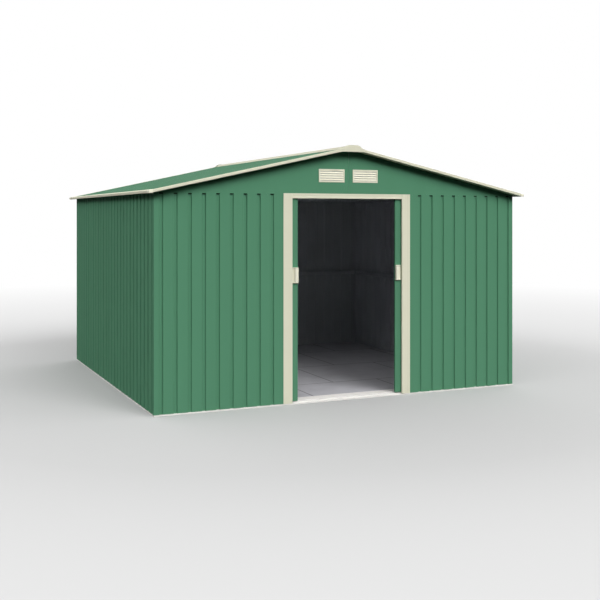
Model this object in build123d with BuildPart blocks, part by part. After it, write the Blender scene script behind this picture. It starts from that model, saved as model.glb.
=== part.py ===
from build123d import *
import os
from math import atan, cos, degrees, sin

# Steel garden shed with an apex roof and a pair of sliding doors, in millimetres.
# X runs across the front, Y from the front to the back, Z up. The origin lies on the ground in the middle
# of the plan, and both doors stand open, drawn behind the front wall.

# Ribbed sheet
rib_pitch = 110
groove_width = 30
groove_floor = 20
groove_depth = 10
gauge = 0.5

# Clearances between pieces
lap_gap = 0.1
seat_gap = 0.3
joint_gap = 0.4
running_gap = 6.5

# Walls: ribs in each sheet of a wall, and the height where the gable panels begin
end_sheet_ribs = (10, 9, 10)
side_sheet_ribs = (9, 9, 9)
wall_height = 1642
gable_lap = 10

# Folded rails of the frame
rail_gauge = 1
rail_height = 40
rail_depth = 25
girt_height = 800
plate_drop = 30

# Base rail: white lip and ledge under the sheets, flange on the ground, upright behind the sheets
base_lip = 12
base_flange = 40
base_upright = 30
floor_thickness = 20
floor_gap = 0.5

# Roof
roof_slope = 0.22
eave_rise = 26
roof_sheet_ribs = (7, 7, 7, 7)
eave_overhang = 58
eave_setback = 5
rake_setback = 28
purlin_place = 800
ridge_beam_half = 20
beam_count = 2

# Cream trims
trim_gauge = 0.8
trim_face = 21
trim_top_flange = 44
rake_bottom_flange = 73
eave_bottom_flange = 20
eave_face = 19
corner_cap_width = 30
corner_cap_side = 56
corner_cap_drop = 20
ridge_flange = 100
crown_half = 50
crown_foot = 70
crown_rise = 3
end_crown_foot = 85
end_crown_rise = 9
ridge_end_drop = 41
ridge_end_hood = 25

# Gable panels and their louvred vents
gable_flange = 25
vent_width = 226
vent_height = 104
vent_place = 150
vent_rise = 147
vent_rebate = 9
vent_proud = 3
vent_sleeve = 8
louvre_count = 5
louvre_gauge = 1.2
louvre_tilt = 1.1

# Doorway and its trims
door_half = 490
jamb_width = 76
jamb_proud = 3
jamb_return = 20
trim_step = 1
trim_edge = 20
header_drop = 34
header_rise = 5
header_edge = 12

# Door leaves, their gear and their handles
leaf_grooves = 4
leaf_stile = 60
leaf_thickness = 20
leaf_foot = 25
leaf_top_gap = 17
leaf_reveal = 53
meeting_gap = 6
leaf_hem = 18
frame_stile = 30
frame_rail = 40
handle_clearance = 5
handle_height = 123
handle_middle = 1006
handle_proud = 20
handle_lip = 22
handle_base = 3
handle_wall = 5
handle_heel = 6
track_hem = 5
track_width = 20
hanger_inset = 90
hanger_width = 40
hanger_plate = 2
hanger_lap = 40
wheel_radius = 12
wheel_width = 9
wheel_setback = 1
axle_radius = 3
guide_length = 40
guide_flange = 16
guide_plate = 4
guide_tongue = 8
guide_gap = 2
guide_channel = 12
threshold_rise = 8
sill_setback = 5.5
sill_depth = 114
sill_gauge = 1.5

# Sizes that follow from these
half_width = rib_pitch * sum(end_sheet_ribs) / 2
half_depth = rib_pitch * sum(side_sheet_ribs) / 2
wall_length = {
    "front": 2 * half_width,
    "right": 2 * half_depth,
    "rear": 2 * half_width,
    "left": 2 * half_depth,
}
sheet_face = gauge + lap_gap
sheet_back = sheet_face + groove_depth + gauge
rail_face = sheet_back + seat_gap
rail_back = rail_face + rail_depth
corner_leg = (rib_pitch - groove_width) / 2
sheet_foot = base_lip + seat_gap
sheet_top = wall_height + gable_lap
pitch_angle = atan(roof_slope)
roof_thickness = (groove_depth + gauge) / cos(pitch_angle)
trim_lift = seat_gap + trim_gauge
cap_lift = 2 * trim_lift
eave_half = half_width + eave_overhang
roof_half_length = rib_pitch * sum(roof_sheet_ribs) / 2
rake_plane = roof_half_length + rake_setback
header_foot = wall_height - header_drop
header_top = wall_height + header_rise
leaf_width = 2 * leaf_stile + leaf_grooves * rib_pitch
leaf_face = sheet_back + running_gap
leaf_back = leaf_face + leaf_thickness
leaf_top = wall_height - leaf_top_gap
leaf_lead = door_half - leaf_reveal
track_top = wall_height - rail_gauge
gutter_middle = leaf_face + leaf_thickness / 2
gutter_front = gutter_middle - guide_channel / 2
gutter_floor = rail_gauge + seat_gap + rail_gauge
threshold_top = base_lip + threshold_rise

# Each wall's start corner and the way it runs, round the plan from above
walls = {
    "front": (Vector(-half_width, -half_depth), Vector(1, 0)),
    "right": (Vector(half_width, -half_depth), Vector(0, 1)),
    "rear": (Vector(half_width, half_depth), Vector(-1, 0)),
    "left": (Vector(-half_width, half_depth), Vector(0, -1)),
}


def plan_plane(wall, inset=0, height=0):
    """Level plane from a wall's start corner: x runs along the wall and y into the shed."""
    corner, along = walls[wall]
    inward = Vector(0, 0, 1).cross(along)
    return Plane(origin=corner + inward * inset + Vector(0, 0, height), x_dir=along, z_dir=(0, 0, 1))


def end_plane(wall, start=0):
    """Plane across a wall, at a distance along it: x is the depth from its outer face and y the height."""
    corner, along = walls[wall]
    return Plane(origin=corner + along * start, x_dir=Vector(0, 0, 1).cross(along), z_dir=along)


def face_plane(wall, inset=0):
    """Plane along a wall, at a depth from its outer face: x runs from its middle, y is the height."""
    corner, along = walls[wall]
    inward = Vector(0, 0, 1).cross(along)
    middle = corner + along * (wall_length[wall] / 2)
    return Plane(origin=middle + inward * inset, x_dir=along, z_dir=-inward)


def front_plan(height=0):
    """Level plane on the front's centre line: x runs across and y is the depth from the wall's outer face."""
    return Plane(origin=(0, -half_depth, height), x_dir=(1, 0, 0), z_dir=(0, 0, 1))


def slope_plane(side):
    """Plane across one slope at the ridge: x runs along the ridge and y down through the roof."""
    down_slope = (side * cos(pitch_angle), 0, -sin(pitch_angle))
    return Plane(origin=(0, 0, roof_top(0)), x_dir=(0, -side, 0), z_dir=down_slope)


def roof_top(place):
    """Height of the roof's upper face at a distance from the ridge."""
    return wall_height + eave_rise + roof_slope * (half_width - place)


def roof_underside(place):
    """Height where the frame under the roof seats, at a distance from the ridge."""
    return roof_top(place) - roof_thickness - seat_gap


def ribbed_line(start, stop, first_groove):
    """Points of a ribbed sheet seen on end, with a groove at each pitch from the first one."""
    points = [(start, 0)]
    centre = first_groove
    while centre + groove_width / 2 < stop:
        points += [
            (centre - groove_width / 2, 0),
            (centre - groove_floor / 2, groove_depth),
            (centre + groove_floor / 2, groove_depth),
            (centre + groove_width / 2, 0),
        ]
        centre += rib_pitch
    return points + [(stop, 0)]


def sheet_lines(ribs_by_sheet, end_trim):
    """Point lists of a wall's sheets, side by side, with a hairline between neighbours."""
    lines = []
    start = 0
    for number, ribs in enumerate(ribs_by_sheet):
        stop = start + ribs * rib_pitch
        left_trim = end_trim if number == 0 else joint_gap / 2
        right_trim = end_trim if number == len(ribs_by_sheet) - 1 else joint_gap / 2
        lines.append(ribbed_line(start + left_trim, stop - right_trim, start + rib_pitch / 2))
        start = stop
    return lines


def folded(points, thickness, side=Side.RIGHT):
    """Section of a folded strip: a line of points, thickened to one side of its run with mitred folds."""
    front = [Vector(*point) for point in points]
    across = Vector(0, 0, 1 if side == Side.LEFT else -1)
    normals = [across.cross(stop - start).normalized() for start, stop in zip(front, front[1:])]
    back = []
    for point, before, after in zip(front, normals[:1] + normals, normals + normals[-1:]):
        between = before + after
        back.append(point + between * (2 * thickness / between.dot(between)))
    with BuildSketch() as strip:
        with BuildLine():
            Polyline(*front, *reversed(back), close=True)
        make_face()
    return strip.sketch


def channel(depth, foot, height):
    """Section of a frame channel whose web stands at a depth, open towards the inside."""
    inner = depth + rail_depth
    return folded([(inner, foot), (depth, foot), (depth, foot + height), (inner, foot + height)], rail_gauge)


def stepped_face(start, stop, edge, level, step):
    """Points across a trim's face, with a shallow step between its two edges."""
    way = 1 if stop > start else -1
    return [
        (start, level),
        (start + way * edge, level),
        (start + way * (edge + step), level + step),
        (stop - way * (edge + step), level + step),
        (stop - way * edge, level),
        (stop, level),
    ]


def ridge_line(foot, rise, lift):
    """Points over the ridge from left to right: a flat crown, its flanks and its flanges on the slopes."""
    right = [
        (crown_half, roof_top(0) + rise + lift),
        (foot, roof_top(foot) + lift),
        (ridge_flange, roof_top(ridge_flange) + lift),
    ]
    return [(-across, height) for across, height in reversed(right)] + right


def finish(name, builder):
    """Label a finished piece and write it."""
    builder.part.label = name
    export_step(builder.part, f"parts/{name}.step")


# Base rails, mitred at the corners; the front one's upright is cut away in the doorway

doorway_cut = 2 * (door_half + jamb_return + seat_gap)
for wall in walls:
    corner, along = walls[wall]
    inward = Vector(0, 0, 1).cross(along)
    length = wall_length[wall]
    start_mitre = Plane(origin=corner + along * lap_gap, z_dir=along - inward)
    stop_mitre = Plane(origin=corner + along * (length - lap_gap), z_dir=-along - inward)
    rail_points = [
        (base_flange, 0),
        (0, 0),
        (0, base_lip),
        (rail_face, base_lip),
        (rail_face, base_lip + base_upright),
    ]
    with BuildPart() as base_rail:
        with BuildSketch(end_plane(wall)):
            add(folded(rail_points, rail_gauge))
        extrude(amount=length)
        split(bisect_by=start_mitre, keep=Keep.TOP)
        split(bisect_by=stop_mitre, keep=Keep.TOP)
        if wall == "front":
            with BuildSketch(face_plane(wall, rail_face + rail_gauge)):
                with Locations((0, base_lip)):
                    Rectangle(doorway_cut, base_upright, align=(Align.CENTER, Align.MIN))
            extrude(amount=rail_gauge, mode=Mode.SUBTRACT)
    finish(f"base_rail_{wall}", base_rail)

# Threshold and gutter in one fold: a ramp up from the ledge, then the channel that guides the doors

with BuildPart() as lower_track:
    track_end = base_flange + floor_gap
    threshold_line = [
        (rail_face + rail_gauge + floor_gap, base_lip),
        (gutter_front, threshold_top),
        (gutter_front, gutter_floor),
        (gutter_front + guide_channel, gutter_floor),
        (gutter_front + guide_channel, threshold_top),
    ]
    with BuildSketch(end_plane("front", track_end)):
        add(folded(threshold_line, rail_gauge))
    extrude(amount=2 * (half_width - track_end))
finish("lower_track", lower_track)

# Sill strip on the floor's edge behind the doors

with BuildPart() as sill_strip:
    with BuildSketch(front_plan(floor_thickness + seat_gap)):
        with Locations((0, leaf_back + sill_setback)):
            Rectangle(2 * (door_half + jamb_return), sill_depth, align=(Align.CENTER, Align.MIN))
    extrude(amount=sill_gauge)
finish("sill_strip", sill_strip)

# Floor slab inside the base rails

with BuildPart() as floor:
    with BuildSketch():
        Rectangle(2 * (half_width - base_flange - floor_gap), 2 * (half_depth - base_flange - floor_gap))
    extrude(amount=floor_thickness)
finish("floor", floor)

# Ribbed wall sheets, standing on the base rails

sheet_end = sheet_face + gauge + seat_gap
for wall, ribs_by_sheet in (("rear", end_sheet_ribs), ("left", side_sheet_ribs), ("right", side_sheet_ribs)):
    with BuildPart() as wall_sheets:
        with BuildSketch(plan_plane(wall, sheet_face, sheet_foot)):
            for line in sheet_lines(ribs_by_sheet, sheet_end):
                add(folded(line, gauge, Side.LEFT))
        extrude(amount=sheet_top - sheet_foot)
    finish(f"{wall}_wall", wall_sheets)

front_line = ribbed_line(sheet_end, half_width - door_half - trim_gauge - seat_gap, rib_pitch / 2)
with BuildPart() as front_wall_left:
    with BuildSketch(plan_plane("front", sheet_face, sheet_foot)):
        add(folded(front_line, gauge, Side.LEFT))
    extrude(amount=sheet_top - sheet_foot)
finish("front_wall_left", front_wall_left)

with BuildPart() as front_wall_right:
    mirror(front_wall_left.part, about=Plane.YZ)
finish("front_wall_right", front_wall_right)

# Corner panels, lapped over the wall sheets up to their first grooves

with BuildPart() as corner_panels:
    for wall in walls:
        with BuildSketch(plan_plane(wall, 0, sheet_foot)):
            add(folded([(corner_leg, 0), (0, 0), (0, corner_leg)], gauge))
        extrude(amount=wall_height - seat_gap - sheet_foot)
finish("corner_panels", corner_panels)

# Gable panels in two halves, flanged under the roof and at the middle, with holes behind the vents

for wall in ("front", "rear"):
    seam = joint_gap / 2
    with BuildPart() as gable:
        with BuildSketch(face_plane(wall, gauge)) as panel:
            with BuildLine():
                Polyline(
                    (-half_width, wall_height),
                    (-seam, wall_height),
                    (-seam, roof_underside(seam)),
                    (-half_width, roof_underside(half_width)),
                    close=True,
                )
            make_face()
            with Locations((-vent_place, wall_height + vent_rise)):
                Rectangle(vent_width - 2 * vent_rebate, vent_height - 2 * vent_rebate, mode=Mode.SUBTRACT)
        extrude(amount=gauge)
        with BuildSketch(face_plane(wall, gable_flange)) as flange:
            with BuildLine():
                Polyline(
                    (-half_width, roof_underside(half_width) - gauge),
                    (-seam - gauge, roof_underside(seam) - gauge),
                    (-seam - gauge, sheet_top + seat_gap),
                    (-seam, sheet_top + seat_gap),
                    (-seam, roof_underside(seam)),
                    (-half_width, roof_underside(half_width)),
                    close=True,
                )
            make_face()
        extrude(amount=gable_flange)
        mirror(about=Plane.YZ)
    finish(f"{wall}_gable", gable)

# Louvred vents, set into the gable panels

vent_middle = wall_height + vent_rise
sleeve_width = vent_width - 2 * vent_rebate - 2 * seat_gap
sleeve_height = vent_height - 2 * vent_rebate - 2 * seat_gap
mouth_width = sleeve_width - 2 * louvre_gauge
mouth_height = sleeve_height - 2 * louvre_gauge
louvre_pitch = (mouth_height - 2 * seat_gap - louvre_gauge) / (louvre_count - 1 + louvre_tilt)
louvre_fall = louvre_pitch * louvre_tilt
for wall in ("front", "rear"):
    with BuildPart() as vents:
        with BuildSketch(face_plane(wall, -lap_gap)):
            with Locations((-vent_place, vent_middle)):
                Rectangle(vent_width, vent_height)
                Rectangle(mouth_width, mouth_height, mode=Mode.SUBTRACT)
        extrude(amount=vent_proud)
        with BuildSketch(face_plane(wall, vent_sleeve)):
            with Locations((-vent_place, vent_middle)):
                Rectangle(sleeve_width, sleeve_height)
                Rectangle(mouth_width, mouth_height, mode=Mode.SUBTRACT)
        extrude(amount=vent_sleeve + lap_gap)
        with BuildSketch(end_plane(wall, half_width - vent_place - sleeve_width / 2 + louvre_gauge / 2)):
            for number in range(louvre_count):
                foot = vent_middle - mouth_height / 2 + seat_gap + number * louvre_pitch
                with BuildLine():
                    Polyline(
                        (-vent_proud, foot),
                        (vent_sleeve, foot + louvre_fall),
                        (vent_sleeve, foot + louvre_fall + louvre_gauge),
                        (-vent_proud, foot + louvre_gauge),
                        close=True,
                    )
                make_face()
        extrude(amount=sleeve_width - louvre_gauge)
        mirror(about=Plane.YZ)
    finish(f"{wall}_vents", vents)

# Door jambs: folded trims round the cut ends of the front sheets

with BuildPart() as door_jamb_right:
    jamb_edge = door_half + jamb_width
    jamb_line = (
        [(jamb_edge, -lap_gap)]
        + stepped_face(jamb_edge, door_half, trim_edge, -jamb_proud, trim_step)
        + [(door_half, rail_face + trim_gauge), (door_half + jamb_return, rail_face + trim_gauge)]
    )
    with BuildSketch(front_plan(sheet_foot)):
        add(folded(jamb_line, trim_gauge))
    extrude(amount=header_top - sheet_foot)
    with BuildSketch(front_plan(header_foot)):
        with Locations((door_half, sheet_back)):
            Rectangle(jamb_return, rail_depth, align=(Align.MIN, Align.MIN))
    extrude(amount=header_top - header_foot, mode=Mode.SUBTRACT)
    with BuildSketch(front_plan(wall_height - seat_gap)):
        with Locations((door_half, -lap_gap)):
            Rectangle(jamb_return, rail_depth, align=(Align.MIN, Align.MIN))
    extrude(amount=header_top - wall_height + seat_gap, mode=Mode.SUBTRACT)
finish("door_jamb_right", door_jamb_right)

with BuildPart() as door_jamb_left:
    mirror(door_jamb_right.part, about=Plane.YZ)
finish("door_jamb_left", door_jamb_left)

# Header between the jambs, over the top of the doorway

with BuildPart() as door_header:
    header_face = [
        (level, height) for height, level in
        stepped_face(header_foot, header_top, header_edge, -jamb_proud, trim_step)
    ]
    with BuildSketch(end_plane("front", half_width - door_half + seat_gap)):
        add(folded([(sheet_back, header_foot)] + header_face + [(-lap_gap, header_top)], trim_gauge))
    extrude(amount=2 * (door_half - seat_gap))
finish("door_header", door_header)

# Upper track: a rail behind the front sheets whose lip carries the door wheels

with BuildPart() as door_track:
    track_line = [
        (rail_face, header_foot + seat_gap),
        (rail_face, track_top),
        (rail_face + track_width, track_top),
        (rail_face + track_width, track_top + track_hem),
    ]
    with BuildSketch(end_plane("front", rail_face)):
        add(folded(track_line, rail_gauge))
    extrude(amount=2 * (half_width - rail_face))
finish("door_track", door_track)

# Top rails on the rear and side walls; those at the sides carry the roof, sloped to fit it

with BuildPart() as top_rails:
    plate_foot = wall_height - plate_drop
    with BuildSketch(end_plane("rear", rail_face)):
        add(channel(rail_face, plate_foot, plate_drop))
    extrude(amount=2 * (half_width - rail_face))
    side_line = [
        (rail_back, plate_foot),
        (rail_face, plate_foot),
        (rail_face, roof_underside(half_width - rail_face)),
        (rail_back, roof_underside(half_width - rail_back)),
    ]
    for wall in ("left", "right"):
        with BuildSketch(end_plane(wall, rail_back + seat_gap)):
            add(folded(side_line, rail_gauge))
        extrude(amount=2 * (half_depth - rail_back - seat_gap))
finish("top_rails", top_rails)

# Girts half way up the rear and side walls

with BuildPart() as wall_girts:
    for wall in ("rear", "left", "right"):
        girt_end = rail_face if wall == "rear" else rail_back + seat_gap
        with BuildSketch(end_plane(wall, girt_end)):
            add(channel(rail_face, girt_height, rail_height))
        extrude(amount=wall_length[wall] - 2 * girt_end)
finish("wall_girts", wall_girts)

# Roof frame: ridge beam, purlins, and tie beams with their posts

beam_end = gable_flange + seat_gap
ridge_beam_foot = roof_underside(ridge_beam_half) - rail_height
with BuildPart() as ridge_beam:
    with BuildSketch(Plane(origin=(0, half_depth - beam_end, 0), x_dir=(1, 0, 0), z_dir=(0, -1, 0))):
        beam_line = [
            (-ridge_beam_half, ridge_beam_foot),
            (-ridge_beam_half, roof_underside(ridge_beam_half)),
            (0, roof_underside(0)),
            (ridge_beam_half, roof_underside(ridge_beam_half)),
            (ridge_beam_half, ridge_beam_foot),
        ]
        add(folded(beam_line, rail_gauge))
    extrude(amount=2 * (half_depth - beam_end))
finish("ridge_beam", ridge_beam)

with BuildPart() as purlins:
    purlin_origin = (purlin_place, half_depth - beam_end, roof_underside(purlin_place))
    with BuildSketch(
        Plane(origin=purlin_origin, x_dir=(cos(pitch_angle), 0, -sin(pitch_angle)), z_dir=(0, -1, 0))
    ):
        add(channel(0, -rail_height, rail_height))
    extrude(amount=2 * (half_depth - beam_end))
    mirror(about=Plane.YZ)
finish("purlins", purlins)

beam_spacing = 2 * half_depth / (beam_count + 1)
beam_depths = [beam_spacing * (number + 1) for number in range(beam_count)]
tie_foot = wall_height - plate_drop
with BuildPart() as tie_beams:
    for depth in beam_depths:
        with BuildSketch(end_plane("front", rail_back + seat_gap)):
            add(channel(depth, tie_foot, rail_height))
        extrude(amount=2 * (half_width - rail_back - seat_gap))
finish("tie_beams", tie_beams)

with BuildPart() as truss_posts:
    post_foot = tie_foot + rail_height + seat_gap
    purlin_drop = rail_height * cos(pitch_angle) + rail_depth * sin(pitch_angle)
    purlin_foot = roof_underside(purlin_place) - purlin_drop
    for depth in beam_depths:
        for place, post_top in (
            (-purlin_place, purlin_foot),
            (0, ridge_beam_foot),
            (purlin_place, purlin_foot),
        ):
            post_line = [
                (place + ridge_beam_half, depth + rail_depth),
                (place + ridge_beam_half, depth),
                (place - ridge_beam_half, depth),
                (place - ridge_beam_half, depth + rail_depth),
            ]
            with BuildSketch(front_plan(post_foot)):
                add(folded(post_line, rail_gauge))
            extrude(amount=post_top - seat_gap - post_foot)
finish("truss_posts", truss_posts)

# Roof sheets, with their grooves running from ridge to eave

for name, side in (("roof_left", -1), ("roof_right", 1)):
    sheet_split = (groove_depth + gauge) * roof_slope + joint_gap
    sheet_run = (eave_half - eave_setback) / cos(pitch_angle)
    with BuildPart() as roof_sheets:
        with BuildSketch(slope_plane(side).offset(sheet_split)):
            with Locations((-roof_half_length, 0)):
                for line in sheet_lines(roof_sheet_ribs, 0):
                    add(folded(line, gauge, Side.LEFT))
        extrude(amount=sheet_run - sheet_split)
    finish(name, roof_sheets)

# Rake trims, folded round the roof's ends over both gables

rake_split = trim_face * roof_slope + joint_gap
rake_run = (eave_half - eave_bottom_flange - rail_gauge) / cos(pitch_angle)
with BuildPart() as front_rake_trim:
    rake_line = [
        (-rake_plane + trim_top_flange, -trim_lift),
        (-rake_plane, -trim_lift),
        (-rake_plane, trim_face - trim_lift),
        (-rake_plane + rake_bottom_flange, trim_face - trim_lift),
    ]
    with BuildSketch(slope_plane(-1).offset(rake_split)):
        add(folded(rake_line, trim_gauge))
    extrude(amount=rake_run - rake_split)
    mirror(about=Plane.YZ)
finish("front_rake_trim", front_rake_trim)

with BuildPart() as rear_rake_trim:
    mirror(front_rake_trim.part, about=Plane.XZ)
finish("rear_rake_trim", rear_rake_trim)

# Eave trims, folded round the roof's lower edges

for wall in ("left", "right"):
    lift = trim_lift / cos(pitch_angle)
    eave_top = roof_top(eave_half) + lift
    eave_line = [
        (eave_bottom_flange - eave_overhang, eave_top - eave_face),
        (-eave_overhang, eave_top - eave_face),
        (-eave_overhang, eave_top),
        (trim_top_flange - eave_overhang, roof_top(eave_half - trim_top_flange) + lift),
    ]
    eave_half_length = rake_plane - trim_top_flange - seat_gap
    with BuildPart() as eave_trim:
        with BuildSketch(end_plane(wall, half_depth - eave_half_length)):
            add(folded(eave_line, trim_gauge))
        extrude(amount=2 * eave_half_length)
    finish(f"eave_trim_{wall}", eave_trim)

# Corner caps over the joints of the rake and eave trims

with BuildPart() as eave_corner_caps:
    cap_plane = rake_plane + trim_lift
    cap_edge = eave_half + trim_lift
    cap_top = cap_lift / cos(pitch_angle)
    cap_foot = roof_top(cap_edge) + cap_top - corner_cap_drop
    with BuildSketch(Plane(origin=(0, -cap_plane + corner_cap_side, 0), x_dir=(1, 0, 0), z_dir=(0, -1, 0))):
        with BuildLine():
            Polyline(
                (-cap_edge, cap_foot),
                (-cap_edge + corner_cap_width, cap_foot),
                (-cap_edge + corner_cap_width, roof_top(cap_edge - corner_cap_width) + cap_top),
                (-cap_edge, roof_top(cap_edge) + cap_top),
                close=True,
            )
        make_face()
    extrude(amount=corner_cap_side)
    cap_faces = eave_corner_caps.faces()
    open_faces = [
        cap_faces.sort_by(Axis.Z)[0],
        cap_faces.sort_by(Axis.X)[-1],
        cap_faces.sort_by(Axis.Y)[-1],
    ]
    offset(amount=-trim_gauge, openings=open_faces)
    mirror(about=Plane.YZ)
    mirror(about=Plane.XZ)
finish("eave_corner_caps", eave_corner_caps)

# Ridge cap over both slopes, and the hooded plates that close its ends with a higher crown

with BuildPart() as ridge_cap:
    with BuildSketch(Plane(origin=(0, rake_plane, 0), x_dir=(1, 0, 0), z_dir=(0, -1, 0))):
        add(folded(ridge_line(crown_foot, crown_rise, cap_lift), trim_gauge))
    extrude(amount=2 * rake_plane)
finish("ridge_cap", ridge_cap)

with BuildPart() as ridge_ends:
    end_foot = roof_top(0) - ridge_end_drop
    hood_line = ridge_line(end_crown_foot, end_crown_rise, cap_lift + seat_gap)
    with BuildSketch(Plane(origin=(0, -rake_plane - seat_gap, 0), x_dir=(1, 0, 0), z_dir=(0, -1, 0))):
        with BuildLine():
            Polyline((-ridge_flange, end_foot), *hood_line, (ridge_flange, end_foot), close=True)
        make_face()
        add(folded(hood_line, trim_gauge, Side.LEFT))
    extrude(amount=trim_gauge)
    with BuildSketch(Plane(origin=(0, -rake_plane + ridge_end_hood, 0), x_dir=(1, 0, 0), z_dir=(0, -1, 0))):
        add(folded(hood_line, trim_gauge, Side.LEFT))
    extrude(amount=ridge_end_hood + seat_gap)
    mirror(about=Plane.XZ)
finish("ridge_ends", ridge_ends)

# Door leaves: a ribbed skin, a pressed frame with its hangers, wheels and guides, and a pull handle.
# The right leaf is drawn where it stands when open, and the left one mirrors it.

leaf_tail = leaf_lead + leaf_width
with BuildPart() as door_right_skin:
    ribs_line = ribbed_line(leaf_lead, leaf_tail - leaf_stile, leaf_lead + leaf_stile + rib_pitch / 2)
    skin_line = [(leaf_lead, leaf_hem)] + ribs_line[:-1] + [(leaf_tail, 0), (leaf_tail, leaf_hem)]
    with BuildSketch(front_plan(leaf_foot)):
        with Locations((0, leaf_face)):
            add(folded(skin_line, gauge, Side.LEFT))
    extrude(amount=leaf_top - leaf_foot)

frame_face = leaf_face + groove_depth + gauge + seat_gap
frame_edges = (leaf_lead + gauge + seat_gap, leaf_tail - gauge - seat_gap)
frame_feet = (leaf_foot, (leaf_foot + leaf_top - frame_rail) / 2, leaf_top - frame_rail)
hanger_places = [leaf_lead + hanger_inset, leaf_tail - hanger_inset]
wheel_height = track_top + seat_gap + wheel_radius
hanger_face = leaf_back + seat_gap
hanger_height = wheel_height + wheel_radius - leaf_top + hanger_lap
with BuildPart() as door_right_frame:
    for start in (frame_edges[0], frame_edges[1] - frame_stile):
        stile_line = [
            (start, frame_face),
            (start, leaf_back),
            (start + frame_stile, leaf_back),
            (start + frame_stile, frame_face),
        ]
        with BuildSketch(front_plan(leaf_foot)):
            add(folded(stile_line, rail_gauge))
        extrude(amount=leaf_top - leaf_foot)
    rail_start = frame_edges[0] + frame_stile + seat_gap
    rail_stop = frame_edges[1] - frame_stile - seat_gap
    for foot in frame_feet:
        cross_line = [
            (frame_face, foot),
            (leaf_back, foot),
            (leaf_back, foot + frame_rail),
            (frame_face, foot + frame_rail),
        ]
        with BuildSketch(end_plane("front", half_width + rail_start)):
            add(folded(cross_line, rail_gauge, Side.LEFT))
        extrude(amount=rail_stop - rail_start)
    for place in hanger_places:
        with BuildSketch(face_plane("front", hanger_face + hanger_plate)):
            with Locations((place, leaf_top - hanger_lap)):
                Rectangle(hanger_width, hanger_height, align=(Align.CENTER, Align.MIN))
        extrude(amount=hanger_plate)
        with BuildSketch(face_plane("front", hanger_face + hanger_plate)):
            with Locations((place, wheel_height)):
                Circle(axle_radius)
        extrude(amount=hanger_face + hanger_plate - leaf_face)

guide_reach = leaf_foot - seat_gap - gutter_floor - guide_gap
with BuildPart() as door_right_gear:
    for place in hanger_places:
        with BuildSketch(face_plane("front", leaf_face + wheel_setback + wheel_width)):
            with Locations((place, wheel_height)):
                Circle(wheel_radius)
                Circle(axle_radius + seat_gap, mode=Mode.SUBTRACT)
        extrude(amount=wheel_width)
        with BuildSketch(end_plane("front", half_width + place - guide_length / 2)):
            with Locations((gutter_middle, leaf_foot - seat_gap)):
                Rectangle(guide_flange, guide_plate, align=(Align.CENTER, Align.MAX))
                Rectangle(guide_tongue, guide_reach, align=(Align.CENTER, Align.MAX))
        extrude(amount=guide_length)

with BuildPart() as door_right_handle:
    handle_back = leaf_face - seat_gap
    handle_tail = leaf_lead + leaf_reveal - handle_clearance
    handle_tip = leaf_face - handle_proud
    with BuildSketch(front_plan(handle_middle - handle_height / 2)):
        with BuildLine():
            Polyline(
                (leaf_lead, handle_back),
                (leaf_lead, handle_tip),
                (leaf_lead + handle_lip, handle_tip),
                (handle_tail, handle_back - handle_heel),
                (handle_tail, handle_back),
                close=True,
            )
        make_face()
    extrude(amount=handle_height)
    fillet(door_right_handle.edges().filter_by(Axis.Z).group_by(Axis.Y)[0], radius=handle_base)
    scoop_width = handle_tail - leaf_lead - handle_lip - handle_base
    with BuildSketch(front_plan(handle_middle - handle_height / 2 + handle_wall)):
        with Locations((leaf_lead + handle_lip, handle_back - handle_base)):
            Rectangle(scoop_width, handle_proud, align=(Align.MIN, Align.MAX))
    extrude(amount=handle_height - 2 * handle_wall, mode=Mode.SUBTRACT)

door_pieces = {
    "skin": door_right_skin,
    "frame": door_right_frame,
    "gear": door_right_gear,
    "handle": door_right_handle,
}
for name, piece in door_pieces.items():
    finish(f"door_right_{name}", piece)
    with BuildPart() as left_piece:
        mirror(piece.part, about=Plane.YZ)
    finish(f"door_left_{name}", left_piece)

door_travel = leaf_lead - meeting_gap / 2
print(f"walls {2 * half_width} by {2 * half_depth} mm, ridge {roof_top(0):.1f} mm high")
print(f"roof {2 * cap_edge:.1f} by {2 * cap_plane:.1f} mm at {degrees(pitch_angle):.2f} degrees")
print(f"each door slides {door_travel} mm")
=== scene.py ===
# %% [markdown]
# # A green steel garden shed
#
# This lesson dresses the engineering model of a small garden shed. The real one is folded from thin painted
# steel: ribbed green sheets for the walls, roof and doors, cream trims round the edges, a white rail at the
# foot, and zinc-coated bars inside. Almost every part is one long strip with folds in it, so most of the
# lesson is one idea used many times: draw the strip's end view, round its folds, and sweep it along a line.
#
# Lengths are in millimetres, as on a maker's drawing, and the mesh builder turns them into metres.

# %% Load the frame
from math import atan, cos, pi, radians, sin

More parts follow.
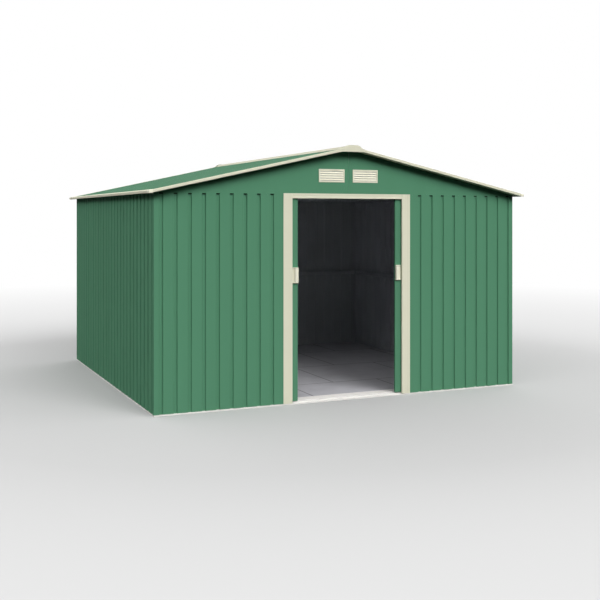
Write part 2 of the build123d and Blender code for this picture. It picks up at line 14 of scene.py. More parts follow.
import bmesh
import bpy
import numpy as np
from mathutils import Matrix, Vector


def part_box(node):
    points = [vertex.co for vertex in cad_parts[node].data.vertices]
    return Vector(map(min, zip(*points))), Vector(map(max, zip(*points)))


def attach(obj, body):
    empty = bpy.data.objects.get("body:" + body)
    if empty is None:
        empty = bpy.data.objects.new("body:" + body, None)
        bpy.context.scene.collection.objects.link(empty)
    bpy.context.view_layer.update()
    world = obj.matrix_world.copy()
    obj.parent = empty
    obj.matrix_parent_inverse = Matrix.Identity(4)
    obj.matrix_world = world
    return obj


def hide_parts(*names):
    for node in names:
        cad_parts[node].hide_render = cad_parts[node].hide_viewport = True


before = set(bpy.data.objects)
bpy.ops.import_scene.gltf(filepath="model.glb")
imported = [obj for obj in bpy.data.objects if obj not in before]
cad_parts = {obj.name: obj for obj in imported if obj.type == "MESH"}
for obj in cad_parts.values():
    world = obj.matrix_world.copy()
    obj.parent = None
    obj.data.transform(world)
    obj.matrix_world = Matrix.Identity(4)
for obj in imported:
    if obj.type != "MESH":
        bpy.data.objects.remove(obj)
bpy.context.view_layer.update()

# %% [markdown]
# ## The camera
#
# The camera stands in front of the left corner at eye height. Upright edges stay upright in the picture, so
# the camera is level, and a small shift of the lens brings the ground into view, as on a view camera. Its
# place is in metres and its turn in degrees. The other values are in pixels of a square picture.

# %% Camera
focal_pixels = 939.87
picture_side = 600
horizon_row = 215.32
middle_column = 299.35
camera_place = (-3.4122, -8.1928, 1.4754)
camera_turn = -24.041



def add_object(name, data):
    """A new object in the scene, at the origin and unturned."""
    made = bpy.data.objects.new(name, data)
    bpy.context.scene.collection.objects.link(made)
    return made


camera_data = bpy.data.cameras.new("eye_level_camera")
camera = add_object("eye_level_camera", camera_data)
bpy.context.scene.camera = camera
camera.location = camera_place
camera.rotation_euler = (radians(90), 0, radians(camera_turn))
camera_data.lens = camera_data.sensor_width * focal_pixels / picture_side
camera_data.shift_x = (middle_column - picture_side / 2) / picture_side
camera_data.shift_y = (horizon_row - picture_side / 2) / picture_side
print("lens", round(camera_data.lens, 1), "mm, shift", round(camera_data.shift_y, 3))

# %% [markdown]
# ## Nodes and colours
#
# Colours are written as hex codes, as a paint chart gives them, and turned into linear light once. A single
# function adds a shader node, so each material below reads as a list of what it is made of.

# %% Colour and node helpers


def linear(code):
    """Linear colour of an sRGB hex code: (c + 0.055) / 1.055 to the power 2.4, or c / 12.92 below 0.04045."""
    levels = np.array([int(code[place:place + 2], 16) / 255 for place in (1, 3, 5)])
    light = np.where(levels > 0.04045, ((levels + 0.055) / 1.055) ** 2.4, levels / 12.92)
    return (*light.tolist(), 1.0)


def add_node(tree, kind, inputs=(), **settings):
    """Adds a node. Settings are its properties; inputs give its sockets a value, an output or a node.

    A node stands for its first output.
    """
    made = tree.nodes.new(kind)
    for name, value in settings.items():
        setattr(made, name, value)
    for name, value in dict(inputs).items():
        if isinstance(value, bpy.types.Node):
            value = value.outputs[0]
        if isinstance(value, bpy.types.NodeSocket):
            tree.links.new(value, made.inputs[name])
        else:
            made.inputs[name].default_value = value
    return made


def new_material(name):
    """An empty material, its node tree and the Object coordinates that its patterns read."""
    material = bpy.data.materials.new(name)
    material.use_nodes = True
    tree = material.node_tree
    tree.nodes.clear()
    place = add_node(tree, "ShaderNodeTexCoord").outputs["Object"]
    return material, tree, place


def finish_material(tree, sockets, surface="ShaderNodeBsdfPrincipled"):
    """Adds the surface shader with its sockets and joins it to the output."""
    shader = add_node(tree, surface, sockets)
    add_node(tree, "ShaderNodeOutputMaterial", {"Surface": shader})


print("cream in linear light", [round(v, 3) for v in linear("#D4D3BE")[:3]])

# %% [markdown]
# ## Coil-coated steel
#
# The sheets are painted on the coil, before they are folded, with a baked polyester paint. It is smooth, with
# a low sheen and a faint orange peel, and the rollers leave the colour a shade lighter or darker in long
# streaks. The photograph shows hardly any reflection in it, so its specular level is kept low. The real peel
# is about 1 mm from crest to crest, too fine for the picture, so it is drawn at 4 mm. The streaks run along
# the sheet, so each paint is told which way its sheets run.

# %% Painted steel


def coil_paint(name, colour, shade, roughness, grain=(1, 1, 1)):
    """Baked polyester paint: two close shades in soft streaks, orange peel as bump, roughness that drifts.

    The streaks are noise on coordinates stretched by grain, so a small grain makes a long streak. A noise of
    scale s has spots about 1 / s metres wide.
    """
    drift = 0.05
    material, tree, place = new_material(name)
    stretched = add_node(tree, "ShaderNodeVectorMath", {0: place, 1: grain}, operation="MULTIPLY")
    streaks = add_node(tree, "ShaderNodeTexNoise", {"Vector": stretched, "Scale": 9.0, "Detail": 3.0})
    shades = {0: streaks, 6: linear(colour), 7: linear(shade)}
    tone = add_node(tree, "ShaderNodeMix", shades, data_type="RGBA")
    peel = add_node(tree, "ShaderNodeTexNoise", {"Vector": place, "Scale": 250.0, "Detail": 2.0})
    bump = add_node(tree, "ShaderNodeBump", {"Strength": 0.05, "Distance": 0.0006, "Height": peel})
    cloud = add_node(tree, "ShaderNodeTexNoise", {"Vector": place, "Scale": 2.5, "Detail": 4.0})
    least, most = roughness - drift, roughness + drift
    dull = add_node(tree, "ShaderNodeMapRange", {"Value": cloud, "To Min": least, "To Max": most})
    finish_material(tree, {
        "Base Color": tone.outputs[2], "Roughness": dull, "Normal": bump, "IOR": 1.5,
        "Specular IOR Level": 0.05,
    })
    return material


upright = (1, 1, 0.06)
green_paint = coil_paint("green_coil_paint_walls", "#528568", "#4F8164", 0.78, upright)
# The roof has the walls' green paint. Its green is written darker here: painted shade that keeps the
# sky-facing slopes from coming out brighter than the walls.
roof_paint_painted_shade = coil_paint("green_coil_paint_roof_painted_shade", "#467358", "#436F54", 0.78, (0.06, 1, 0.3))
cream_paint = coil_paint("cream_coil_paint", "#D4D3BE", "#D0CFB9", 0.6)
ridge_paint = coil_paint("cream_coil_paint_ridge", "#CBCAB6", "#C7C6B1", 0.7)
# The sill's white is the brightest of all: painted light, standing for the band of sunlight on the floor just
# inside the doorway.
sill_white_painted_light = coil_paint("white_coil_paint_sill_painted_light", "#F5F2EE", "#F1EEE9", 0.45)
rail_paint = coil_paint("white_coil_paint_rails", "#DCDAD6", "#D8D6D1", 0.5)
back_paint = coil_paint("grey_backing_coat", "#D2D6D8", "#CBCFD1", 0.6, upright)
print("paints", len(bpy.data.materials))

# %% [markdown]
# ## Zinc, nylon, moulded plastic and stone
#
# The bars inside are hot-dip galvanised: the zinc freezes in flat crystals a centimetre or two across, the
# spangle, each a little lighter or duller than the next. Voronoi cells give the crystals. The girts have a
# duller zinc, written paler as painted light that lifts the shade on them, so they don't stand out against
# the walls. The door wheels are nylon, and the vents, roof corner caps and handles are moulded ABS with a
# fine spark-eroded grain.

# %% Galvanised steel


def zinc_coat(name, colour, shade, metallic):
    """Spangled zinc: each crystal has its own shade and roughness."""
    material, tree, place = new_material(name)
    crystals = add_node(tree, "ShaderNodeTexVoronoi", {"Vector": place, "Scale": 70.0}).outputs["Color"]
    shades = {0: crystals, 6: linear(colour), 7: linear(shade)}
    spangle = add_node(tree, "ShaderNodeMix", shades, data_type="RGBA")
    dull = add_node(tree, "ShaderNodeMapRange", {"Value": crystals, "To Min": 0.45, "To Max": 0.65})
    finish_material(tree, {"Base Color": spangle.outputs[2], "Metallic": metallic, "Roughness": dull})
    return material


zinc = zinc_coat("galvanised_steel_spangle", "#B4B9BC", "#CCD1D3", 0.35)
# The girts' zinc is less metallic, and its colour is written paler: painted light that lifts the shade on
# them.
pale_zinc_painted_light = zinc_coat("galvanised_steel_dull_painted_light", "#DADDE0", "#E4E7E9", 0.05)
print("with zinc", len(bpy.data.materials))

# %% Moulded plastics


def moulded_plastic(name, colour, shade, roughness, specular=0.5):
    """Moulded plastic: a fine spark-eroded grain, drawn at 2 mm, over a colour that drifts very slightly."""
    material, tree, place = new_material(name)
    drift = add_node(tree, "ShaderNodeTexNoise", {"Vector": place, "Scale": 25.0, "Detail": 2.0})
    shades = {0: drift, 6: linear(colour), 7: linear(shade)}
    tone = add_node(tree, "ShaderNodeMix", shades, data_type="RGBA")
    grain = add_node(tree, "ShaderNodeTexNoise", {"Vector": place, "Scale": 500.0, "Detail": 1.0})
    bump = add_node(tree, "ShaderNodeBump", {"Strength": 0.1, "Distance": 0.0005, "Height": grain})
    finish_material(tree, {
        "Base Color": tone.outputs[2], "Roughness": roughness, "Normal": bump, "IOR": 1.5,
        "Specular IOR Level": specular,
    })
    return material


cream_plastic = moulded_plastic("cream_moulded_plastic", "#DEDCC7", "#DAD8C2", 0.5)
handle_plastic = moulded_plastic("cream_handle_plastic", "#DEDCC8", "#D9D7C3", 0.5)
dark_nylon = moulded_plastic("dark_nylon", "#34353A", "#2E2F33", 0.5)
# Near-black, dull foam for the groove plugs: painted shade.
painted_shade_black = moulded_plastic("black_foam_painted_shade", "#0E100F", "#0B0D0C", 0.9, 0.05)
print("with plastics", len(bpy.data.materials))

# %% [markdown]
# A piece's slot in the engineering model goes with its finishes: of its outer face, and of its inner one.

# %% Slots and finishes
green_sheet = ("green_steel", green_paint, back_paint)
roof_sheet = ("green_steel", roof_paint_painted_shade, back_paint)
cream_trim = ("cream_steel", cream_paint, cream_paint)
ridge_trim = ("cream_steel", ridge_paint, ridge_paint)
white_rail = ("white_steel", rail_paint, back_paint)
white_ramp = ("white_steel", rail_paint, rail_paint)
white_sill = ("white_steel", sill_white_painted_light, sill_white_painted_light)
shade_plug = ("nylon", painted_shade_black, painted_shade_black)
cream_moulding = ("cream_steel", cream_plastic)
cream_handle = ("cream_plastic", handle_plastic)
print("outside of the walls", green_sheet[1].name)

# %% [markdown]
# The floor is smooth grey slabs of 850 mm, laid with staggered joints. The joints are drawn 12 mm wide, twice
# a real one, so that they show. The pattern is moved so that a row ends 0.82 m in front of the middle of the
# floor, where the photograph faintly shows a joint.

# %% Stone floor
tile_size, half_joint = 0.85, 0.006
tile_shift = (0.235, 0.82, 0.0)

stone, tree, place = new_material("grey_stone_slabs")
cloud = add_node(tree, "ShaderNodeTexNoise", {"Vector": place, "Scale": 3.5, "Detail": 6.0, "Roughness": 0.6})
tone = add_node(
    tree, "ShaderNodeMix", {0: cloud, 6: linear("#AEADB2"), 7: linear("#D6D5DA")}, data_type="RGBA"
)
laid = add_node(tree, "ShaderNodeVectorMath", {0: place, 1: tile_shift}, operation="ADD")
joint = add_node(tree, "ShaderNodeTexBrick", {
    "Vector": laid, "Scale": 1.0, "Brick Width": tile_size, "Row Height": tile_size,
    "Mortar Size": half_joint, "Mortar Smooth": 0.3,
}).outputs["Fac"]
jointed = add_node(
    tree, "ShaderNodeMix", {0: joint, 6: tone.outputs[2], 7: linear("#77767A")}, data_type="RGBA"
)
grit = add_node(tree, "ShaderNodeTexNoise", {"Vector": place, "Scale": 160.0, "Detail": 3.0})
sunk = add_node(tree, "ShaderNodeMath", {0: grit, 1: joint}, operation="SUBTRACT")
bump = add_node(tree, "ShaderNodeBump", {"Strength": 0.25, "Distance": 0.001, "Height": sunk})
finish_material(tree, {"Base Color": jointed.outputs[2], "Roughness": 0.6, "Normal": bump, "IOR": 1.5})
print("materials", [m.name for m in bpy.data.materials])

# %% [markdown]
# ## Folding a strip of sheet
#
# A press brake never leaves a sharp corner: the sheet bends round a small radius, and that round catches the
# light as a fine bright line. A bevel modifier could round a finished mesh, but it knows nothing of the
# sheet's thickness. Here the fold is worked out exactly: the arc touches both runs, and the back of the sheet
# is the same line set off by the thickness.

# %% Fold
# An arc takes under half of the shorter run beside it, and a joint without a turn must not divide by zero.
run_share, no_turn = 0.49, 1e-9


def fold(points, radius, steps=4):
    """Line through the points with each corner turned into an arc, and its normals to the left.

    With unit runs a and b and the turn t between them, the arc starts r * tan(|t| / 2) before the corner, and
    its centre lies r to the side it turns to. The normal turns evenly from a's to b's.
    """
    points = np.asarray(points, float)
    runs = np.diff(points, axis=0)
    lengths = np.linalg.norm(runs, axis=1)
    ways = runs / lengths[:, None]
    turns = np.arctan2(
        ways[:-1, 0] * ways[1:, 1] - ways[:-1, 1] * ways[1:, 0], (ways[:-1] * ways[1:]).sum(1)
    )
    half = np.maximum(np.tan(np.abs(turns) / 2), no_turn)
    bend = np.minimum(radius, run_share * np.minimum(lengths[:-1], lengths[1:]) / half)
    lefts = np.stack([-ways[:, 1], ways[:, 0]], 1)
    side = np.sign(turns)
    begin = points[1:-1] - ways[:-1] * (bend * half)[:, None]
    centre = begin + lefts[:-1] * (side * bend)[:, None]
    angle = turns[:, None] * np.linspace(0, 1, steps + 1)
    across, rise = np.cos(angle), np.sin(angle)
    x, y = lefts[:-1, None, 0], lefts[:-1, None, 1]
    turned = np.stack([across * x - rise * y, rise * x + across * y], -1)
    arcs = centre[:, None] - turned * (side * bend)[:, None, None]
    line = np.concatenate([points[:1], arcs.reshape(-1, 2), points[-1:]])
    normals = np.concatenate([lefts[:1], turned.reshape(-1, 2), lefts[-1:]])
    return line, normals


line, normals = fold([(0, 0), (30, 0), (30, 30)], 3)
print("a right-angled fold has", len(line), "points")

# %% [markdown]
# ## Sweeping the strip
#
# The folded end view is carried along a straight line to make the strip, and its ends are closed with narrow
# faces across the thickness. Each end may be cut at a slope, for a mitre, so its place may differ from point
# to point. The builder also keeps the true normals, so the flats stay flat and only the folds look round.

# %% Sweep
LEFT, RIGHT = 1, -1
FACE, BACK = 0, 1


def sweep(face, face_normals, back, back_normals, axes, start, stop):
    """Closed bar between two lines of an end view, as vertices, faces, corner normals and side numbers.

    Point (x, y) of the end view at distance z along the bar is origin + x * X + y * Y + z * Z.
    """
    origin, x_axis, y_axis, run = (np.asarray(part, float) for part in axes)
    count = len(face)
    ring = np.concatenate([face, back[::-1]])
    flat = origin + ring[:, :1] * x_axis + ring[:, 1:] * y_axis
    near, far = (np.broadcast_to(end(ring) if callable(end) else end, len(ring)) for end in (start, stop))
    vertices = np.concatenate([flat + near[:, None] * run, flat + far[:, None] * run])
    size = len(ring)
    here = np.arange(size)
    after = (here + 1) % size
    quads = np.stack([here, after, after + size, here + size], 1)
    step = np.arange(count - 1)
    cap = np.stack([step, size - 1 - step, size - 2 - step, step + 1], 1)
    caps = np.concatenate([cap, cap[:, ::-1] + size])
    outward = np.concatenate([face_normals, back_normals[::-1]])
    smooth = outward[:, :1] * x_axis + outward[:, 1:] * y_axis
    quad_normals = np.stack([smooth[here], smooth[after], smooth[after], smooth[here]], 1)
    for edge in (count - 1, size - 1):
        corners = vertices[quads[edge]]
        level = np.cross(corners[1] - corners[0], corners[3] - corners[0])
        quad_normals[edge] = level / np.linalg.norm(level)
    corners = vertices[caps]
    level = np.cross(corners[:, 2] - corners[:, 0], corners[:, 3] - corners[:, 1])
    cap_normals = np.repeat((level / np.linalg.norm(level, axis=1, keepdims=True))[:, None], 4, 1)
    faces = np.concatenate([quads, caps])
    normals = np.concatenate([quad_normals, cap_normals])
    sides = np.full(len(faces), FACE)
    sides[count:size] = BACK
    return turned_out(vertices, faces, normals, sides)


def turned_out(vertices, faces, normals, sides):
    """The same closed mesh with its faces outwards: the volume summed over its faces must be positive."""
    a, b, c, d = (vertices[faces[:, corner]] for corner in range(4))
    level = np.cross(c - a, d - b)
    if (np.cross(a, b) * c).sum() + (np.cross(a, c) * d).sum() < 0:
        faces, normals, level = faces[:, ::-1], normals[:, ::-1], -level
    away = (level[:, None] * normals).sum(-1, keepdims=True) < 0
    return vertices, faces, np.where(away, -normals, normals), sides


def strip(points, thickness, radius, axes, start, stop, side=RIGHT, steps=4):
    """Folded strip: a rounded line, the same line set off by the thickness, and the sweep between them."""
    line, lefts = fold(points, radius, steps)
    back = line + side * thickness * lefts
    return sweep(line, -side * lefts, back, side * lefts, axes, start, stop)


def mirrored(part, axis):
    """The same part on the other side of the middle plane across an axis."""
    vertices, faces, normals, sides = part
    flip = np.where(np.arange(3) == axis, -1, 1)
    return vertices * flip, faces[:, ::-1], (normals * flip)[:, ::-1], sides


print("sweep and mirror are ready")

# %% [markdown]
# ## From arrays to a piece
#
# One function joins the parts of a piece and writes its mesh in metres. Another gives it its finishes, puts
# it on the body it rides on, and hides the node of the engineering model that it stands for.

# %% Mesh builder
MM = 0.001
merge_distance = 1e-5


def joined_arrays(parts):
    """Vertices of all the parts in metres, and their faces with each part's count of vertices added on."""
    offsets = np.cumsum([0] + [len(part[0]) for part in parts[:-1]])
    vertices = np.concatenate([part[0] for part in parts]) * MM
    return vertices, np.concatenate([part[1] + offset for part, offset in zip(parts, offsets)])


def place_piece(name, mesh, finish, sides, node, body):
    """Paints a mesh by the side number of each face, and puts it on its body, in place of the node if any."""
    slot, *materials = finish
    mesh.materials.clear()
    for material in materials:
        mesh.materials.append(material)
    mesh.polygons.foreach_set("material_index", sides.astype(np.int32))
    piece = add_object(name, mesh)
    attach(piece, body)
    if node:
        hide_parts(node)
    print(name, len(mesh.vertices), "vertices", len(mesh.polygons), "faces")


def build(name, parts, finish, node, body="shed"):
    """Joins parts that have their own normals and side numbers into one piece."""
    vertices, faces = joined_arrays(parts)
    normals = np.concatenate([part[2] for part in parts])
    mesh = bpy.data.meshes.new(name)
    mesh.from_pydata(vertices.tolist(), [], faces.tolist(), shade_flat=False)
    mesh.normals_split_custom_set(normals.reshape(-1, 3).tolist())
    place_piece(name, mesh, finish, np.concatenate([part[3] for part in parts]), node, body)


def box_mm(node):
    """Lowest and highest corner of a node of the engineering model, in millimetres."""
    low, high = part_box(node)
    return np.array(low) / MM, np.array(high) / MM


print("a piece is built from millimetres, in metres:", MM)

# %% [markdown]
# ## The four walls as drawing planes
#
# Each wall gets two sets of axes: a plan view, for sheets that stand up, and an end view, for rails that run
# along it. Walls are taken round the plan, so "inwards" is always to the left of the way the wall runs.
# Pieces lie a seat gap apart, or a lap gap where one sheet covers another.

# %% Wall axes
seat_gap, lap_gap = 0.3, 0.1
corner_low, corner_high = box_mm("corner_panels")
half_width, half_depth, corner_top = corner_high
wall_height = corner_top + seat_gap
up = np.array([0.0, 0, 1])
corners = {
    "front": ((-half_width, -half_depth, 0), (1, 0, 0)),
    "right": ((half_width, -half_depth, 0), (0, 1, 0)),
    "rear": ((half_width, half_depth, 0), (-1, 0, 0)),
    "left": ((-half_width, half_depth, 0), (0, -1, 0)),
}
wall_length = {
    "front": 2 * half_width, "right": 2 * half_depth, "rear": 2 * half_width, "left": 2 * half_depth,
}


def plan_view(wall):
    """Axes of an upright sheet: x along the wall, y into the shed, swept upwards."""
    corner, along = corners[wall]
    return corner, along, np.cross(up, along), up


def end_view(wall):
    """Axes of a rail: x into the shed, y up, swept along the wall."""
    corner, along = corners[wall]
    return corner, np.cross(up, along), up, along


def along_front(node):
    """Start and stop of a node along the front wall."""
    return [half_width + corner[0] for corner in box_mm(node)]


front_plan = ((0, -half_depth, 0), (1, 0, 0), (0, 1, 0), up)
print("walls", 2 * half_width, "by", 2 * half_depth, "mm")

# %% [markdown]
# ## Ribbed wall sheets
#
# Roll forming presses a groove into the sheet every 110 mm. Groove corners are rounded to under 2 mm. The
# outer face and the cut ends are green, and the inner face shows the grey backing coat.

# %% Ribbed sheets
rib_pitch = 110
groove_width, groove_floor, groove_depth = 30, 20, 10
gauge = 0.5
sheet_face = 0.6
sheet_radius = 1.6
joint_gap = 0.4
sheet_end = sheet_face + gauge + seat_gap
wall_ribs = {"rear": (10, 9, 10), "left": (9, 9, 9), "right": (9, 9, 9)}


def ribbed(start, stop, first, count):
    """End view of a ribbed sheet: grooves centred at first + k * pitch, each a trapezium of four points."""
    centres = first + rib_pitch * np.arange(count)
    mouth, floor = groove_width / 2, groove_floor / 2
    across = centres[:, None] + np.array([-mouth, -floor, floor, mouth])
    depth = np.broadcast_to([0, groove_depth, groove_depth, 0], across.shape)
    grooves = np.stack([across, depth], -1).reshape(-1, 2)
    return np.concatenate([[(start, 0)], grooves, [(stop, 0)]])


def ribbed_sheets(ribs_by_sheet, end_trim, axes, start, stop):
    """Sheets side by side, each with its count of ribs and a hairline to its neighbour."""
    edges = np.cumsum([0, *ribs_by_sheet]) * rib_pitch
    trims = [end_trim] + [joint_gap / 2] * (len(ribs_by_sheet) - 1) + [end_trim]
    parts = []
    for number, ribs in enumerate(ribs_by_sheet):
        points = ribbed(
            edges[number] + trims[number], edges[number + 1] - trims[number + 1],
            edges[number] + rib_pitch / 2, ribs,
        )
        parts.append(strip(points, gauge, sheet_radius, axes, start, stop, LEFT))
    return parts


def shifted(axes, shift):
    """The same axes, moved by a distance along their y axis."""
    origin, x_axis, y_axis, run = axes
    return np.asarray(origin) + np.asarray(y_axis) * shift, x_axis, y_axis, run


sheet_foot, sheet_top = (corner[2] for corner in box_mm("left_wall"))
for wall, ribs_by_sheet in wall_ribs.items():
    sheet_axes = shifted(plan_view(wall), sheet_face)
    sheets = ribbed_sheets(ribs_by_sheet, sheet_end, sheet_axes, sheet_foot, sheet_top)
    build(f"{wall}_wall_sheets", sheets, green_sheet, f"{wall}_wall")

# %% [markdown]
# The front sheets stop behind the door trims. The right one mirrors the left, so both are the same shape.

# %% Front sheets and corner panels
front_stop = box_mm("front_wall_left")[1][0] + half_width
front_ribs = 10
front_line = ribbed(sheet_end, front_stop, rib_pitch / 2, front_ribs)
front_axes = shifted(plan_view("front"), sheet_face)
front_left = strip(front_line, gauge, sheet_radius, front_axes, sheet_foot, sheet_top, LEFT)
for side, sheet in (("left", front_left), ("right", mirrored(front_left, 0))):
    build(f"front_{side}_sheet", [sheet], green_sheet, f"front_wall_{side}")

corner_leg = (rib_pitch - groove_width) / 2
corner_line = [(corner_leg, 0), (0, 0), (0, corner_leg)]
corner_parts = [
    strip(corner_line, gauge, sheet_radius, plan_view(wall), corner_low[2], corner_top) for wall in corners
]
build("corner_strips", corner_parts, green_sheet, "corner_panels")

# %% [markdown]
# Under the gables each groove ends in a short black bar, the shade under the gable's lap. It is drawn as a
# near-black plug that closes the groove's open end: painted shade in the shape of a foam closure, a block
# with the groove's own tapered end view, from just below the gable's edge upwards. Closures cut from
# closed-cell foam are black and quite dull.

# %% Groove plugs
plug_drop, plug_setback, plug_gap = 7, 0.7, 0.4


def groove_shade_plugs(centres, axes):
    """A block for each groove. The groove's half width falls from mouth to floor with the depth."""
    depths = np.array([plug_setback, groove_depth - plug_gap])
    halves = groove_width / 2 - depths * (groove_width - groove_floor) / 2 / groove_depth - plug_gap
    outer, inner = (np.array([(-half, depth), (half, depth)]) for half, depth in zip(halves, depths))
    away = np.array([[0.0, -1.0]] * 2)
    start = wall_height - plug_drop
    return [
        sweep(outer + (centre, 0), away, inner + (centre, 0), -away, axes, start, sheet_top)
        for centre in centres
    ]


left_plugs = groove_shade_plugs(rib_pitch * (np.arange(front_ribs) + 0.5), front_axes)
front_plugs = left_plugs + [mirrored(plug, 0) for plug in left_plugs]
rear_centres = rib_pitch * (np.arange(sum(wall_ribs["rear"])) + 0.5)
rear_plugs = groove_shade_plugs(rear_centres, shifted(plan_view("rear"), sheet_face))
# The near-black plugs are painted shade at the tops of the grooves.
for wall, plugs in (("front", front_plugs), ("rear", rear_plugs)):
    build(f"{wall}_groove_shade_plugs", plugs, shade_plug, None)

# %% [markdown]
# ## Gable panels
#
# The gables are flat sheets with a flange under the roof, a hole behind each vent, and a folded edge down the
# middle where their two halves meet. Their shape is already right in the engineering model, so each is copied
# and its triangles joined. Only the middle is cut out of the copy and made anew as two folded strips, because
# the seam's rounded folds are what draws the fine dark line under the ridge.

# %% Gables
roof_slope = 0.22
pitch_angle = atan(roof_slope)
eave_rise = 26
seam_leg = 30
seam_radius = 1.6
seam_gap = 0.2
seam_flange, flange_height = 25, 12


def roof_top(place):
    """Height of the roof's upper face at a distance from the ridge."""
    return wall_height + eave_rise + roof_slope * (half_width - place)


def roof_underside(place):
    """Height of the roof's lower face: the sheet is as thick as its grooves are deep."""
    return roof_top(place) - (groove_depth + gauge) / cos(pitch_angle)


def gable_panels(wall, way, cut, straight_on=0.9):
    """A copy of a gable with its vertices joined. Faces that look straight out of the wall are green.

    The part nearer to the middle plane than the cut is taken out, and the copy is closed again.
    """
    name = f"{wall}_gable_panels"
    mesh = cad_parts[f"{wall}_gable"].data.copy()
    mesh.name = name
    joined = bmesh.new()
    joined.from_mesh(mesh)
    bmesh.ops.remove_doubles(joined, verts=joined.verts, dist=merge_distance)
    for side in (-1, 1):
        everything = joined.verts[:] + joined.edges[:] + joined.faces[:]
        bmesh.ops.bisect_plane(joined, geom=everything, plane_co=(side * cut, 0, 0), plane_no=(1, 0, 0))
    middle = [face for face in joined.faces if abs(face.calc_center_median().x) < cut]
    bmesh.ops.delete(joined, geom=middle, context="FACES")
    bmesh.ops.holes_fill(joined, edges=[edge for edge in joined.edges if edge.is_boundary])
    joined.to_mesh(mesh)
    joined.free()
    normals = np.zeros(len(mesh.polygons) * 3)
    mesh.polygons.foreach_get("normal", normals)
    sides = np.where(normals.reshape(-1, 3)[:, 1] * way > straight_on, FACE, BACK)
    mesh.shade_flat()
    place_piece(name, mesh, green_sheet, sides, f"{wall}_gable", "shed")


def seam_top(ring):
    """The seam's face reaches up to the roof, and its flange, more than 1 mm in, ends 12 mm up."""
    return np.where(ring[:, 1] > 1, wall_height + flange_height, roof_underside(-ring[:, 0]))


seam_line = [(-seam_leg, 0), (-seam_gap, 0), (-seam_gap, seam_flange)]
for wall, way in (("front", -1), ("rear", 1)):
    gable_panels(wall, way, seam_leg * MM)
    seam_axes = ((0, way * half_depth, 0), (1, 0, 0), (0, -way, 0), up)
    left_leg = strip(seam_line, gauge, seam_radius, seam_axes, wall_height, seam_top, LEFT, steps=6)
    legs = [left_leg, mirrored(left_leg, 0)]
    build(f"{wall}_gable_seam", legs, green_sheet, f"{wall}_gable")

# %% [markdown]
# ## Roof sheets
#
# The roof uses the same ribbed sheet, laid with its grooves running down the slope. Its axes start at the
# ridge: x along the ridge, y down through the roof, and the sweep goes down to the eave.

# %% Roof
eave_half = box_mm("eave_trim_right")[1][0]
eave_setback = 5
roof_ribs = (7, 7, 7, 7)
roof_half_length = rib_pitch * sum(roof_ribs) / 2


def slope_view(side):
    """Axes of one slope: x along the ridge, y down through the roof, swept down the slope."""
    down = (side * cos(pitch_angle), 0, -sin(pitch_angle))
    along = (0, -side, 0)
    return (0, 0, roof_top(0)), along, np.cross(down, along), down


sheet_split = (groove_depth + gauge) * roof_slope + joint_gap
sheet_run = (eave_half - eave_setback) / cos(pitch_angle)
for name, side in (("left", -1), ("right", 1)):
    origin, along, inward, down = slope_view(side)
    corner = np.asarray(origin) - np.asarray(along) * roof_half_length
    sheets = ribbed_sheets(roof_ribs, 0, (corner, along, inward, down), sheet_split, sheet_run)
    build(f"{name}_roof_sheets", sheets, roof_sheet, f"roof_{name}")

# %% [markdown]
# ## Rake and eave trims
#
# Cream strips are folded round the raw edges of the roof. Their folds are tight, just under 2 mm.

# %% Roof trims
trim_gauge = 0.8
trim_radius = 1.8
trim_lift = seat_gap + trim_gauge
trim_face, eave_face = 21, 19
top_flange, rake_flange, eave_flange = 44, 73, 20
rake_setback, rake_gap = 28, 1
rake_plane = roof_half_length + rake_setback
rake_line = [
    (-rake_plane + top_flange, -trim_lift),
    (-rake_plane, -trim_lift),
    (-rake_plane, trim_face - trim_lift),
    (-rake_plane + rake_flange, trim_face - trim_lift),
]
rake_split = trim_face * roof_slope + joint_gap
rake_run = (eave_half - eave_flange - rake_gap) / cos(pitch_angle)
rake_left = strip(rake_line, trim_gauge, trim_radius, slope_view(-1), rake_split, rake_run)
front_rakes = [rake_left, mirrored(rake_left, 0)]
rear_rakes = [mirrored(part, 1) for part in front_rakes]
for wall, rakes in (("front", front_rakes), ("rear", rear_rakes)):
    build(f"{wall}_rake_strips", rakes, cream_trim, f"{wall}_rake_trim")

lift = trim_lift / cos(pitch_angle)
eave_top = roof_top(eave_half) + lift
overhang = eave_half - half_width
eave_line = [
    (eave_flange - overhang, eave_top - eave_face),
    (-overhang, eave_top - eave_face),
    (-overhang, eave_top),
    (top_flange - overhang, roof_top(eave_half - top_flange) + lift),
]
eave_start, eave_stop = (half_depth + corner[1] for corner in box_mm("eave_trim_left"))
for wall in ("left", "right"):
    eave_strip = strip(eave_line, trim_gauge, trim_radius, end_view(wall), eave_start, eave_stop)
    build(f"{wall}_eave_strip", [eave_strip], cream_trim, f"eave_trim_{wall}")

# %% [markdown]
# ## Ridge cap
#
# The cap is one strip with a raised crown over the joint of the two slopes. At each end a plate with a level
# foot closes it, and a short hood folds over the cap. The cap faces the sky, where the trims' own cream would
# come out as pure white in views from above, so its paint is written a few shades darker.

# %% Ridge
cap_lift = 2 * trim_lift
crown_half, crown_foot, crown_rise = 50, 70, 3
end_foot, end_rise = 85, 9
ridge_flange, hood_depth, plate_drop = 100, 25, 41
crown_radius, hood_radius, hood_steps = 6, 60, 8


def ridge_line(foot, rise, lift):
    """Points over the ridge from left to right: a flat crown, its flanks and its flanges on the slopes."""
    right = np.array([
        (crown_half, roof_top(0) + rise + lift),
        (foot, roof_top(foot) + lift),
        (ridge_flange, roof_top(ridge_flange) + lift),
    ])
    return np.concatenate([(right * (-1, 1))[::-1], right])


ridge_axes = ((0, 0, 0), (1, 0, 0), up, (0, 1, 0))
cap_line = ridge_line(crown_foot, crown_rise, cap_lift)
ridge_cap = strip(cap_line, trim_gauge, crown_radius, ridge_axes, -rake_plane, rake_plane)
build("ridge_cap_strip", [ridge_cap], ridge_trim, "ridge_cap")

